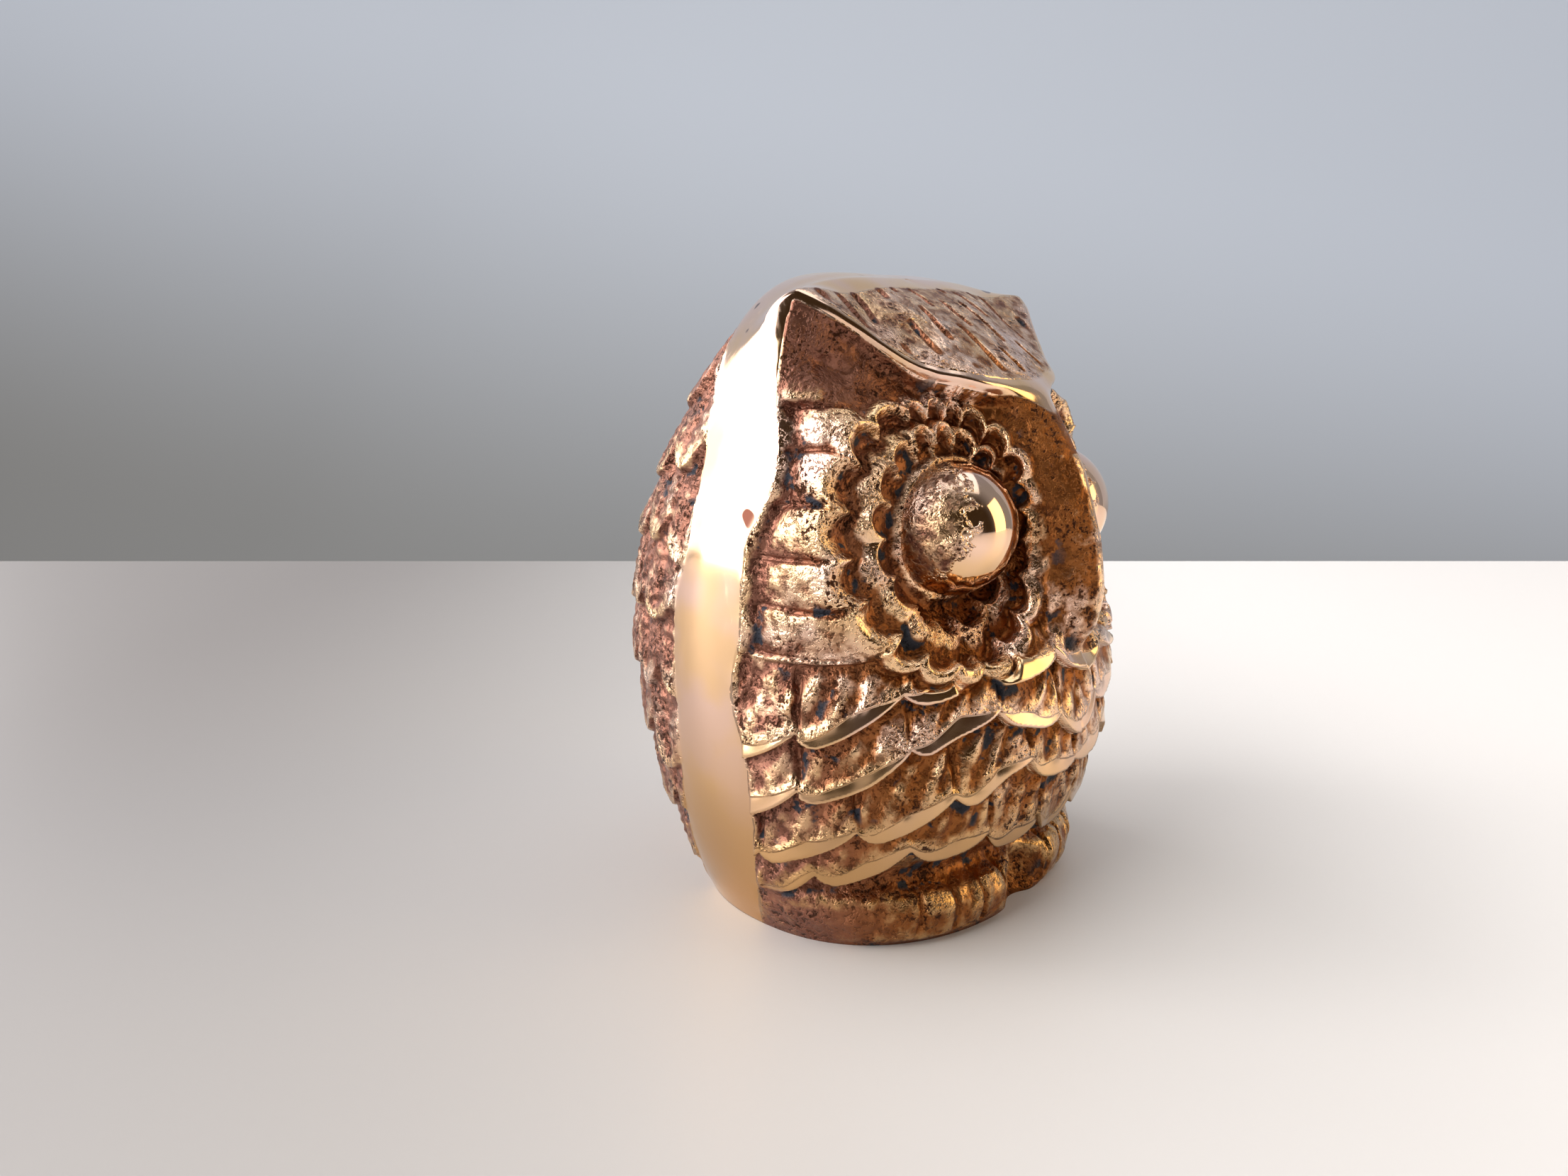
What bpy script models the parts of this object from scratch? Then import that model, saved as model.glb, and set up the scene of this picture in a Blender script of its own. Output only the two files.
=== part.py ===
"""Small cast brass owl.

The owl stands on the XY plane and looks along -Y; its left side is +X and +Z is up.
Two hollow half castings meet on an upright parting plane under the ears.
Two domed eye studs sit in drilled sockets in the face.
A brass plate closes the bottom rim from below, with a felt pad glued under it.

Heights and depths of the form are in millimetres. Depths are measured from the parting plane.
"""
import math

import bmesh
import bpy
import numpy as np

MM = 0.001

# Driving dimensions, in millimetres
WALL = 3.2               # wall of the castings
GAP = 0.3                # clearance between pieces that touch
BEAK_REACH = 21.3        # parting plane to the ridge of the beak
BACK_REACH = 25.5        # parting plane to the fullest part of the back
PARTING_Y = (BEAK_REACH - BACK_REACH) / 2
FAN_LOW = 13.0           # below this height the skin is traced fanwise from one point
FAN_HIGH = 42.0          # above this height as well

# Form of the body: (height, value) points, joined by a smooth curve
HALF_WIDTH = [(0, 19.2), (3, 20.6), (8, 22.2), (15, 23.7), (25, 24.5), (33, 24.2), (42, 22.8),
              (50, 21.2), (55, 20.4), (58, 19.6), (62, 15)]
FRONT_DEPTH = [(0, 14.9), (3, 15.5), (4.6, 15.2), (6, 14.2), (7.6, 15.6), (10, 17.3), (14, 18.8),
               (20, 19.6), (24, 19.6), (28, 18.6), (34, 17.2), (40, 15.6), (44, 13.6),
               (47, 11.6), (50, 9.4), (53, 7.0), (57, 5)]
BACK_DEPTH = [(0, 17.4), (3, 18.8), (8, 21.4), (15, 23.8), (21, 25.1), (27, BACK_REACH), (33, 24.7),
              (40, 22.0), (46, 18.2), (51, 13.6), (55, 9.6), (60, 6)]
FRONT_SQUARENESS = [(3, 2.2), (10, 1.95), (24, 1.9), (33, 2.15), (45, 2.3)]
BACK_SQUARENESS = 2.2

# Flat cuts across the eyes, splayed outwards: (height, distance from the middle line)
FACE_TURN = math.radians(12)
FACE_DEPTH = [(26, 20.5), (30, 16.4), (33, 14.4), (38, 13.3), (42, 12.6),
              (46, 11.0), (49, 9.2), (53, 6.4), (57, 4)]

# Top of the head: (depth from the parting plane, height) along the middle
CROWN = [(-18, 45.5), (-12.7, 49.5), (-7, 53.6), (-2, 56.8), (3, 58.6), (8, 59.0), (13, 57.4),
         (18, 53.6), (23, 48), (28, 41)]
EAR_X = 18.5
EAR_FALL = [(-2, 0), (3, 4.5), (10, 9), (20, 11)]  # how far the sides lie below the middle

# Brow lip: (distance from the middle, depth of its front edge)
BROW_EDGE = [(0, -14.6), (2, -14.2), (6, -13.2), (9, -11.4), (12.5, -8.6), (15, -6.2),
             (18, -3.4), (21, 1)]
BROW_LIP = 3.0           # height of the lip's front edge

# Beak and bridge: (height, depth of the ridge)
BEAK_RIDGE = [(18, -5), (24, -16), (26, -18.8), (28.2, -20.8), (31.4, -BEAK_REACH), (35, -20.9),
              (39.2, -19.8), (42.7, -18.4), (45.5, -16.9), (48.1, -14.9), (50, -12)]
BEAK_SLOPE = 1.3
BEAK_ROUND = 1.2
BEAK_ROOT = 5.0          # the wedge ends inside the head, this far ahead of the parting plane

# Hollow between the feet
CLEFT_CENTRE = (0, -17.5, 2.5)
CLEFT_RADII = (3.4, 4.6, 4.2)

# Eyes
EYE_X, EYE_DEPTH, EYE_Z = 8.8, -11.1, 36.9
EYE_RADIUS = 5.8
SHANK_RADIUS = 2.0
SHANK_LENGTH = 3.0
SOCKET_RADIUS = 6.5
SOCKET_CLEAR = 12.0      # length of the cutter in front of the socket's floor

# Closing plate and felt
RIM = 1.9                # thickness of the bottom rim around the plate
LEDGE_Z = 3.2            # underside of the ledge above the plate
PLATE_TOP = LEDGE_Z - GAP
PLATE_BOTTOM = 1.3
FELT_TOP = PLATE_BOTTOM - GAP
OUTLINE_Z = 1.5          # height at which the rim's outline is taken

SIDE_COLUMNS = 30        # facets round each half
LOW_ROWS, MIDDLE_ROWS, HIGH_ROWS = 5, 11, 15


def curve_through(points, at):
    """Smooth curve through (place, value) points that never overshoots them."""
    place, value = np.array(points, float).T
    step = np.diff(place)
    rise = np.diff(value) / step
    slope = np.concatenate([rise[:1], np.zeros(len(rise) - 1), rise[-1:]])
    same_way = rise[:-1] * rise[1:] > 0
    both = np.where(same_way, rise[:-1] + rise[1:], 1.0)
    slope[1:-1] = np.where(same_way, 2 * rise[:-1] * rise[1:] / both, 0.0)
    at = np.clip(at, place[0], place[-1])
    i = np.clip(np.searchsorted(place, at) - 1, 0, len(step) - 1)
    t = (at - place[i]) / step[i]
    from_start = value[i] * (1 + 2 * t) + slope[i] * step[i] * t
    from_end = value[i + 1] * (3 - 2 * t) + slope[i + 1] * step[i] * (t - 1)
    return from_start * (1 - t) ** 2 + from_end * t ** 2


def soft_max(a, b, width):
    """The larger of two depths, with a fillet about as wide as width."""
    return (a + b + np.sqrt((a - b) ** 2 + width ** 2)) / 2


def soft_min(a, b, width):
    return -soft_max(-a, -b, width)


def trunk(x, y, z):
    """Radial distance outside the body's rounded, slightly square section."""
    ahead = y < 0
    depth = np.where(ahead, curve_through(FRONT_DEPTH, z), curve_through(BACK_DEPTH, z))
    power = np.where(ahead, curve_through(FRONT_SQUARENESS, z), BACK_SQUARENESS)
    across = np.abs(x) / curve_through(HALF_WIDTH, z)
    along = np.abs(y) / depth
    reach = (across ** power + along ** power) ** (1 / power)
    radius = np.hypot(x, y)
    return radius - radius / np.maximum(reach, 1e-6)


def face_cut(x, y, z):
    """Distance in front of the flat cut on each side of the face."""
    ahead = np.abs(x) * math.sin(FACE_TURN) - y * math.cos(FACE_TURN)
    return ahead - curve_through(FACE_DEPTH, z)


def above_crown(x, y, z):
    """Distance above the top of the head, which falls away behind the ears."""
    fall = curve_through(EAR_FALL, y) * (np.abs(x) / EAR_X) ** 4
    return (z - curve_through(CROWN, y) + fall) * 0.8


def cleft(x, y, z):
    """Distance outside the rounded hollow that parts the feet."""
    scaled = [(p - c) / r for p, c, r in zip((x, y, z), CLEFT_CENTRE, CLEFT_RADII)]
    return (np.sqrt(sum(s ** 2 for s in scaled)) - 1) * min(CLEFT_RADII)


def plain_body(x, y, z):
    """Body without brow and beak: the shape that the cavity follows."""
    body = soft_max(trunk(x, y, z), above_crown(x, y, z), 1.6)
    body = soft_max(body, face_cut(x, y, z), 1.0)
    return soft_max(body, -cleft(x, y, z), 0.8)


def brow(x, y, z):
    """Lip that overhangs the eyes and runs out into the ear tips."""
    above = above_crown(x, y, z)
    ahead = (curve_through(BROW_EDGE, np.abs(x)) - y) * 0.75
    lip = soft_max(above, -above - BROW_LIP, 0.6)
    lip = soft_max(lip, ahead, 0.8)
    lip = soft_max(lip, y, 0.6)
    return soft_max(lip, np.abs(x) - curve_through(HALF_WIDTH, z), 0.6)


def beak(x, y, z):
    """Bridge between the eyes, which comes forward and down to the beak."""
    away = BEAK_SLOPE * (np.hypot(x, BEAK_ROUND) - BEAK_ROUND)
    wedge = (curve_through(BEAK_RIDGE, z) - y + away) / math.hypot(1, BEAK_SLOPE)
    wedge = soft_max(wedge, y + BEAK_ROOT, 1.0)
    return soft_max(wedge, above_crown(x, y, z), 1.0)


def whole_body(x, y, z):
    body = soft_min(plain_body(x, y, z), brow(x, y, z), 0.9)
    return soft_min(body, beak(x, y, z), 0.9)


def cavity_body(x, y, z):
    return plain_body(x, y, z) + WALL


def trace(form, origin_z, turn, tilt):
    """Point where each ray from the middle leaves the form for the last time."""
    flat = np.cos(tilt)
    way = np.stack([flat * np.cos(turn), flat * np.sin(turn), np.sin(tilt)], -1)
    start = np.stack([0 * turn, 0 * turn, origin_z + 0 * turn], -1)
    near = np.zeros_like(turn)
    far = np.full_like(turn, 40.0)
    for reach in np.linspace(1, 39, 77):
        inside = form(*np.moveaxis(start + way * reach, -1, 0)) < 0
        near = np.where(inside, reach, near)
        far = np.where(inside, reach + 0.5, far)
    for _ in range(14):
        middle = (near + far) / 2
        inside = form(*np.moveaxis(start + way * middle[..., None], -1, 0)) < 0
        near = np.where(inside, middle, near)
        far = np.where(inside, far, middle)
    return start + way * near[..., None]


def outline(form, height, turns):
    """Level outline of a form at one height."""
    return trace(form, np.full_like(turns, height), turns, np.zeros_like(turns))


def skin(form, floor_z, turns):
    """Rows of points over a form, from its level bottom edge up to one top point."""
    foot = outline(form, floor_z, turns)
    drop = np.arctan2(FAN_LOW - floor_z, np.hypot(foot[:, 0], foot[:, 1]))
    rows = [foot]
    for part in np.arange(1, LOW_ROWS) / LOW_ROWS:
        rows.append(trace(form, FAN_LOW + 0 * turns, turns, -drop * (1 - part)))
    for height in np.linspace(FAN_LOW, FAN_HIGH, MIDDLE_ROWS):
        rows.append(outline(form, height, turns))
    for tilt in np.arange(1, HIGH_ROWS) / HIGH_ROWS * math.pi / 2:
        rows.append(trace(form, FAN_HIGH + 0 * turns, turns, tilt + 0 * turns))
    top = trace(form, np.array([FAN_HIGH]), np.array([math.pi / 2]), np.array([math.pi / 2]))
    return rows, top[0]


def material(name, colour, roughness, metallic):
    made = bpy.data.materials.new(name)
    made.use_nodes = True
    shader = made.node_tree.nodes["Principled BSDF"]
    shader.inputs["Base Color"].default_value = (*colour, 1)
    shader.inputs["Roughness"].default_value = roughness
    shader.inputs["Metallic"].default_value = metallic
    return made


def add_object(name, bm, made=None, smooth=True):
    """Turn a mesh in millimetres into a named object in metres."""
    bmesh.ops.recalc_face_normals(bm, faces=bm.faces)
    bmesh.ops.scale(bm, vec=(MM, MM, MM), verts=bm.verts)
    mesh = bpy.data.meshes.new(name)
    bm.to_mesh(mesh)
    bm.free()
    if smooth:
        mesh.shade_smooth()
        mesh.set_sharp_from_angle(angle=math.radians(40))
    piece = bpy.data.objects.new(name, mesh)
    bpy.context.collection.objects.link(piece)
    if made:
        mesh.materials.append(made)
    return piece


def join_rows(bm, rows, top, ring):
    """Faces over rows of points; a ring closes on itself, a half stays open at its sides."""
    grid = [[bm.verts.new(point) for point in row] for row in rows]
    peak = bm.verts.new(top)
    count = len(grid[0])
    for i in range(count if ring else count - 1):
        j = (i + 1) % count
        for low, high in zip(grid, grid[1:]):
            bm.faces.new((low[i], low[j], high[j], high[i]))
        bm.faces.new((grid[-1][i], grid[-1][j], peak))
    return grid, peak


def half_casting(name, start_turn, side, made):
    """One half of the outer form, closed flat on the parting plane and below."""
    turns = start_turn + np.linspace(0, math.pi, SIDE_COLUMNS + 1)
    rows, top = skin(whole_body, 0, turns)
    offset = np.array([0, PARTING_Y + side * GAP / 2, 0])
    bm = bmesh.new()
    grid, peak = join_rows(bm, [row + offset for row in rows], top + offset, ring=False)
    left = [row[0] for row in grid]
    right = [row[-1] for row in grid]
    bm.faces.new(left + [peak] + right[::-1])
    bm.faces.new(grid[0])
    return add_object(name, bm, made)


def prism(name, points, bottom, top, made=None):
    """Level outline drawn up from one height to another."""
    bm = bmesh.new()
    low = [bm.verts.new((x, y, bottom)) for x, y in points]
    high = [bm.verts.new((x, y, top)) for x, y in points]
    bm.faces.new(low)
    bm.faces.new(high)
    for i in range(len(points)):
        j = (i + 1) % len(points)
        bm.faces.new((low[i], low[j], high[j], high[i]))
    return add_object(name, bm, made)


def rim_outline(inset):
    """Outline of the bottom rim, moved inwards."""
    turns = np.arange(2 * SIDE_COLUMNS) / SIDE_COLUMNS * math.pi
    points = outline(whole_body, OUTLINE_Z, turns)
    radius = np.hypot(points[:, 0], points[:, 1]) - inset
    return [(r * math.cos(t), r * math.sin(t) + PARTING_Y) for r, t in zip(radius, turns)]


def cutter(piece):
    piece.hide_render = True
    piece.display_type = "WIRE"
    return piece


def cut(piece, tool):
    boolean = piece.modifiers.new(tool.name, "BOOLEAN")
    boolean.operation = "DIFFERENCE"
    boolean.solver = "EXACT"
    boolean.object = tool


def cavity_cutter():
    turns = np.arange(2 * SIDE_COLUMNS) / SIDE_COLUMNS * math.pi
    rows, top = skin(cavity_body, LEDGE_Z - GAP, turns)
    offset = np.array([0, PARTING_Y, 0])
    bm = bmesh.new()
    grid, _ = join_rows(bm, [row + offset for row in rows], top + offset, ring=True)
    bm.faces.new(grid[0])
    return cutter(add_object("cavity_cutter", bm))


def turned(name, profile, made=None, steps=28):
    """Solid of revolution about its own Z axis from (radius, height) points, ends on the axis."""
    bm = bmesh.new()
    points = [bm.verts.new((r, 0, h)) for r, h in profile]
    edges = [bm.edges.new(pair) for pair in zip(points, points[1:])]
    bmesh.ops.spin(bm, geom=points + edges, cent=(0, 0, 0), axis=(0, 0, 1),
                   angle=2 * math.pi, steps=steps, use_merge=True)
    bmesh.ops.remove_doubles(bm, verts=bm.verts, dist=1e-4)
    return add_object(name, bm, made)


def place_eye(piece, side):
    """Stand a turned piece on the face, its axis pointing out of the eye."""
    piece.location = (side * EYE_X * MM, (EYE_DEPTH + PARTING_Y) * MM, EYE_Z * MM)
    piece.rotation_euler = (math.pi / 2, 0, side * FACE_TURN)
    return piece


def eye_profile():
    arc = [math.pi / 2 * i / 8 for i in range(9)]
    dome = [(EYE_RADIUS * math.cos(a), EYE_RADIUS * math.sin(a)) for a in arc[:-1]]
    shank = [(0, -SHANK_LENGTH), (SHANK_RADIUS, -SHANK_LENGTH), (SHANK_RADIUS, 0)]
    return shank + dome + [(0, EYE_RADIUS)]


def socket_profile():
    hole = SHANK_RADIUS + GAP
    below = -SHANK_LENGTH - WALL
    return [(0, below), (hole, below), (hole, -GAP), (SOCKET_RADIUS, -GAP),
            (SOCKET_RADIUS, SOCKET_CLEAR), (0, SOCKET_CLEAR)]


def build():
    for old in list(bpy.data.objects):
        bpy.data.objects.remove(old)
    front_brass = material("face_brass", (0.72, 0.50, 0.30), 0.30, 1.0)
    back_brass = material("back_brass", (0.62, 0.43, 0.27), 0.38, 1.0)
    right_brass = material("right_eye_brass", (0.86, 0.68, 0.45), 0.12, 1.0)
    left_brass = material("left_eye_brass", (0.86, 0.68, 0.45), 0.12, 1.0)
    plate_brass = material("plate_brass", (0.60, 0.44, 0.26), 0.45, 1.0)
    felt = material("dark_felt", (0.03, 0.05, 0.035), 0.95, 0.0)

    front = half_casting("front_casting", math.pi, -1, front_brass)
    back = half_casting("back_casting", 0, 1, back_brass)
    cavity = cavity_cutter()
    recess = cutter(prism("plate_recess_cutter", rim_outline(RIM), -1, LEDGE_Z))
    for casting in (front, back):
        cut(casting, cavity)
        cut(casting, recess)

    for name, side, brass in (("right_eye", -1, right_brass), ("left_eye", 1, left_brass)):
        place_eye(turned(name, eye_profile(), brass), side)
        socket = place_eye(turned(name + "_socket_cutter", socket_profile()), side)
        cut(front, cutter(socket))

    prism("base_plate", rim_outline(RIM + GAP), PLATE_BOTTOM, PLATE_TOP, plate_brass)
    prism("felt_pad", rim_outline(RIM + GAP), 0, FELT_TOP, felt)


build()
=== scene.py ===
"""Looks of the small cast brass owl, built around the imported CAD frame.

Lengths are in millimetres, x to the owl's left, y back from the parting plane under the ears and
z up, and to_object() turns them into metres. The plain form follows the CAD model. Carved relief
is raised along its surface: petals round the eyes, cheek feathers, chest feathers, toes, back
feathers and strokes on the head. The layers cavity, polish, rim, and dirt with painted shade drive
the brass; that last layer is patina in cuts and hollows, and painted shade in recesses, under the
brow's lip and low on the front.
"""
import math

import bpy
import numpy as np
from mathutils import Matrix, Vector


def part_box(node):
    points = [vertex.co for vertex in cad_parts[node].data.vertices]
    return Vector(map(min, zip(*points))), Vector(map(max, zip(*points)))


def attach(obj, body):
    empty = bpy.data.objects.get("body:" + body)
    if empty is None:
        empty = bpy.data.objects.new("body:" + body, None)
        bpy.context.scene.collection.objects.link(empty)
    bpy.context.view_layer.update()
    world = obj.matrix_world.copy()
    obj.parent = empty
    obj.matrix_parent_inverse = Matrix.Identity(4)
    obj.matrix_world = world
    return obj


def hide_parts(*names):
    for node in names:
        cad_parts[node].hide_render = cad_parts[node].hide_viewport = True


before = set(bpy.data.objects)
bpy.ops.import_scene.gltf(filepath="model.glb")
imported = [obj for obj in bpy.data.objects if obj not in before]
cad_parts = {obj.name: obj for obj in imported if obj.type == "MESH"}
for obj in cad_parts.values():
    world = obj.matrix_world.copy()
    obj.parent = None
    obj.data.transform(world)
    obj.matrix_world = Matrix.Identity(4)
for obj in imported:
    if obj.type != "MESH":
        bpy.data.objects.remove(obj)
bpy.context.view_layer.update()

MM = 0.001
BODY = "root"
GAP = 0.3                # the CAD's clearance between the two castings
_, front_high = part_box("front_casting")
PARTING_Y = front_high[1] / MM + GAP / 2

# Plain form: (height, size) pairs unless noted
BEAK_REACH = 21.3
BACK_REACH = 25.5
FAN_LOW, FAN_HIGH = 13.0, 42.0    # rays are level between these heights and fan out beyond them
HALF_WIDTH = [(0, 19.2), (3, 20.6), (8, 22.2), (15, 23.7), (25, 24.5), (33, 24.2), (42, 22.8),
              (50, 21.2), (55, 20.4), (58, 19.6), (62, 15)]
FRONT_DEPTH = [(0, 14.9), (3, 15.5), (4.6, 15.2), (6, 14.2), (7.6, 15.6), (10, 17.3), (14, 18.8),
               (20, 19.6), (24, 19.6), (28, 18.6), (34, 17.2), (40, 15.6), (44, 13.6),
               (47, 11.6), (50, 9.4), (53, 7.0), (57, 5)]
BACK_DEPTH = [(0, 17.4), (3, 18.8), (8, 21.4), (15, 23.8), (21, 25.1), (27, BACK_REACH), (33, 24.7),
              (40, 22.0), (46, 18.2), (51, 13.6), (55, 9.6), (60, 6)]
FRONT_SQUARENESS = [(3, 2.2), (10, 1.95), (24, 1.9), (33, 2.15), (45, 2.3)]
BACK_SQUARENESS = 2.2

# Crown and brow: (depth, height), except the brow's edge, which is (distance from the middle, depth)
CROWN = [(-18, 45.5), (-12.7, 49.5), (-7, 53.6), (-2, 56.8), (3, 58.6), (8, 59.0), (13, 57.4),
         (18, 53.6), (23, 48), (28, 41)]
EAR_X = 18.5
EAR_FALL = [(-2, 0), (3, 4.5), (10, 9), (20, 11)]
SADDLE, SADDLE_X, SADDLE_WIDTH = 1.3, 11.5, 3.6
BROW_EDGE = [(0, -14.6), (2, -14.2), (6, -13.2), (9, -11.4), (12.5, -8.6), (15, -6.2),
             (18, -3.4), (21, 1)]
BROW_LIP = 1.1

# Face, beak and the cleft between the feet
FACE_TURN = math.radians(12)
FACE_DEPTH = [(26, 20.5), (30, 16.4), (33, 14.4), (38, 13.3), (42, 12.6), (46, 11.0), (49, 9.5),
              (53, 7.6), (57, 5.4)]
BEAK_RIDGE = [(18, -5), (24, -16), (26, -18.8), (28.2, -20.8), (31.4, -BEAK_REACH), (35, -20.9),
              (39.2, -19.8), (42.7, -18.4), (45.5, -16.9), (48.1, -14.9), (50, -12)]
BEAK_SLOPE = 1.3
BEAK_ROUND = 1.2
BEAK_ROOT = 5.0
CLEFT_CENTRE = (0, -17.5, 2.5)
CLEFT_RADII = (3.4, 4.6, 4.2)

# Eyes: the dome stands EYE_LIFT out from the middle of its flared socket
EYE_X, EYE_DEPTH, EYE_Z = 8.7, -10.6, 36.9
EYE_RADIUS = 5.8
EYE_LIFT = 0.5
SOCKET_RADIUS = 6.0
SOCKET_FLARE = 1.0
SOCKET_FLOOR = 0.5
DOME_SHANK = 1.5
DOME_RINGS, DOME_STEPS = 32, 96

# Underside: rim round the plate, and the ceiling over it, whose middle is this share of its width
RIM = 1.9
LEDGE_Z = 3.2
CEILING_HOLE = 0.02

# Columns round each half, rows of rays that fan down, run level and fan up, and a share that sets
# the rounds of blurring for each step of a blur
FRONT_COLUMNS, BACK_COLUMNS, LOW_ROWS, MIDDLE_ROWS, HIGH_ROWS = 440, 250, 70, 170, 210
BLUR_SHARE = 2.6


# ---------------------------------------------------------------- form

def curve_through(points, at):
    """Smooth curve through (place, value) points that never overshoots them."""
    place, value = np.array(points, float).T
    step = np.diff(place)
    rise = np.diff(value) / step
    slope = np.concatenate([rise[:1], np.zeros(len(rise) - 1), rise[-1:]])
    same_way = rise[:-1] * rise[1:] > 0
    both = np.where(same_way, rise[:-1] + rise[1:], 1.0)
    slope[1:-1] = np.where(same_way, 2 * rise[:-1] * rise[1:] / both, 0.0)
    at = np.clip(at, place[0], place[-1])
    i = np.clip(np.searchsorted(place, at) - 1, 0, len(step) - 1)
    t = (at - place[i]) / step[i]
    from_start = value[i] * (1 + 2 * t) + slope[i] * step[i] * t
    from_end = value[i + 1] * (3 - 2 * t) + slope[i + 1] * step[i] * (t - 1)
    return from_start * (1 - t) ** 2 + from_end * t ** 2


def soft_max(a, b, width):
    return (a + b + np.sqrt((a - b) ** 2 + width ** 2)) / 2


def soft_min(a, b, width):
    return -soft_max(-a, -b, width)


def smooth(low, high, x):
    """Smooth step from 0 at low to 1 at high; low may be the larger."""
    t = np.clip((x - low) / (high - low), 0, 1)
    return t * t * (3 - 2 * t)


def trunk(x, y, z):
    """Rounded oblong about the upright axis, deeper behind than in front."""
    ahead = y < 0
    depth = np.where(ahead, curve_through(FRONT_DEPTH, z), curve_through(BACK_DEPTH, z))
    power = np.where(ahead, curve_through(FRONT_SQUARENESS, z), BACK_SQUARENESS)
    across = np.abs(x) / curve_through(HALF_WIDTH, z)
    along = np.abs(y) / depth
    reach = (across ** power + along ** power) ** (1 / power)
    radius = np.hypot(x, y)
    return radius - radius / np.maximum(reach, 1e-6)


def face_plane(x, y, z):
    """Flat slanting cut on each side of the face, splayed outwards."""
    out = np.abs(x) * math.sin(FACE_TURN) - y * math.cos(FACE_TURN)
    return out - curve_through(FACE_DEPTH, z)


def above_crown(x, y, z):
    fall = curve_through(EAR_FALL, y) * (np.abs(x) / EAR_X) ** 4
    dip = SADDLE * np.exp(-((np.abs(x) - SADDLE_X) / SADDLE_WIDTH) ** 2) * smooth(1, -5, y)
    return (z - curve_through(CROWN, y) + fall + dip) * 0.8


def cleft(x, y, z):
    scaled = [(p - c) / r for p, c, r in zip((x, y, z), CLEFT_CENTRE, CLEFT_RADII)]
    return (np.sqrt(sum(s ** 2 for s in scaled)) - 1) * min(CLEFT_RADII)


def plain_body(x, y, z):
    body = soft_max(trunk(x, y, z), above_crown(x, y, z), 1.6)
    body = soft_max(body, face_plane(x, y, z), 1.0)
    return soft_max(body, -cleft(x, y, z), 0.8)


def brow(x, y, z):
    """Lip of the crown that overhangs the face."""
    above = above_crown(x, y, z)
    ahead = (curve_through(BROW_EDGE, np.abs(x)) - y) * 0.75
    lip = soft_max(above, -above - BROW_LIP, 0.35)
    lip = soft_max(lip, ahead, 0.6)
    lip = soft_max(lip, y, 0.6)
    return soft_max(lip, np.abs(x) - curve_through(HALF_WIDTH, z), 0.6)


def beak(x, y, z):
    away = BEAK_SLOPE * (np.hypot(x, BEAK_ROUND) - BEAK_ROUND)
    wedge = (curve_through(BEAK_RIDGE, z) - y + away) / math.hypot(1, BEAK_SLOPE)
    wedge = soft_max(wedge, y + BEAK_ROOT, 1.0)
    return soft_max(wedge, above_crown(x, y, z), 1.0)


def eye_axes(x, y, z):
    """Distance from the axis of the nearer eye, and distance out along it."""
    out = np.abs(x) - EYE_X
    ahead = EYE_DEPTH - y
    along = out * math.sin(FACE_TURN) + ahead * math.cos(FACE_TURN)
    return np.sqrt(np.maximum(out ** 2 + ahead ** 2 + (z - EYE_Z) ** 2 - along ** 2, 0)), along


def whole_body(x, y, z):
    body = soft_min(plain_body(x, y, z), brow(x, y, z), 0.7)
    body = soft_min(body, beak(x, y, z), 0.9)
    radial, along = eye_axes(x, y, z)
    flare = SOCKET_FLARE * smooth(1.5, 7.0, np.abs(x))
    wall = (radial - SOCKET_RADIUS - flare * np.clip(along, 0, 5)) * 0.8
    socket = soft_max(wall, SOCKET_FLOOR - along, 0.4)
    return soft_max(body, -socket, 0.5)


def trace(form, origin_z, turn, tilt):
    """Point where each ray from the middle leaves the form for the last time."""
    flat = np.cos(tilt)
    way = np.stack([flat * np.cos(turn), flat * np.sin(turn), np.sin(tilt)], -1)
    start = np.stack([0 * turn, 0 * turn, origin_z + 0 * turn], -1)
    near = np.zeros_like(turn)
    far = np.full_like(turn, 40.0)
    for reach in np.arange(8.0, 34.0, 0.5):
        inside = form(*np.moveaxis(start + way * reach, -1, 0)) < 0
        near = np.where(inside, reach, near)
        far = np.where(inside, reach + 0.5, far)
    far = np.where(near == 0, 8.0, far)
    for _ in range(11):
        middle = (near + far) / 2
        inside = form(*np.moveaxis(start + way * middle[..., None], -1, 0)) < 0
        near = np.where(inside, middle, near)
        far = np.where(inside, far, middle)
    return start + way * near[..., None]


def skin(form, floor_z, turns, low, middle, high):
    """Grid of points over a form: rows run up from its level bottom edge to one top point."""
    foot = trace(form, np.full_like(turns, floor_z), turns, 0 * turns)
    drop = np.arctan2(FAN_LOW - floor_z, np.hypot(foot[:, 0], foot[:, 1]))
    part = (np.arange(1, low) / low)[:, None]
    below = trace(form, FAN_LOW, turns + 0 * part, -drop * (1 - part))
    heights = np.linspace(FAN_LOW, FAN_HIGH, middle)[:, None]
    level = trace(form, heights, turns + 0 * heights, 0 * turns * heights)
    tilts = (np.arange(1, high + 1) / high * math.pi / 2)[:, None]
    above = trace(form, FAN_HIGH, turns + 0 * tilts, tilts + 0 * turns)
    above[-1] = above[-2].mean(0)
    return np.concatenate([foot[None], below, level, above])


# ---------------------------------------------------------------- relief

# Edges of the polished side band: (height, depth)
BAND_FRONT = [(0, 1.5), (4, 0.4), (8.5, -0.4), (13, -1.0), (19, -0.7), (23.5, 0.4), (28, -0.5),
              (36, -0.8), (41, -2.6), (43, -2.8), (47, -2.2), (50, -1.8), (54.5, -1.8), (58, -2.2)]
BAND_BACK = [(0, 9.5), (8, 8.8), (14.5, 7.8), (20, 7.4), (31, 7.4), (36, 5.8), (39, 5.6),
             (44.5, 5.2), (52, 6.2), (58, 7.0)]

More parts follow.
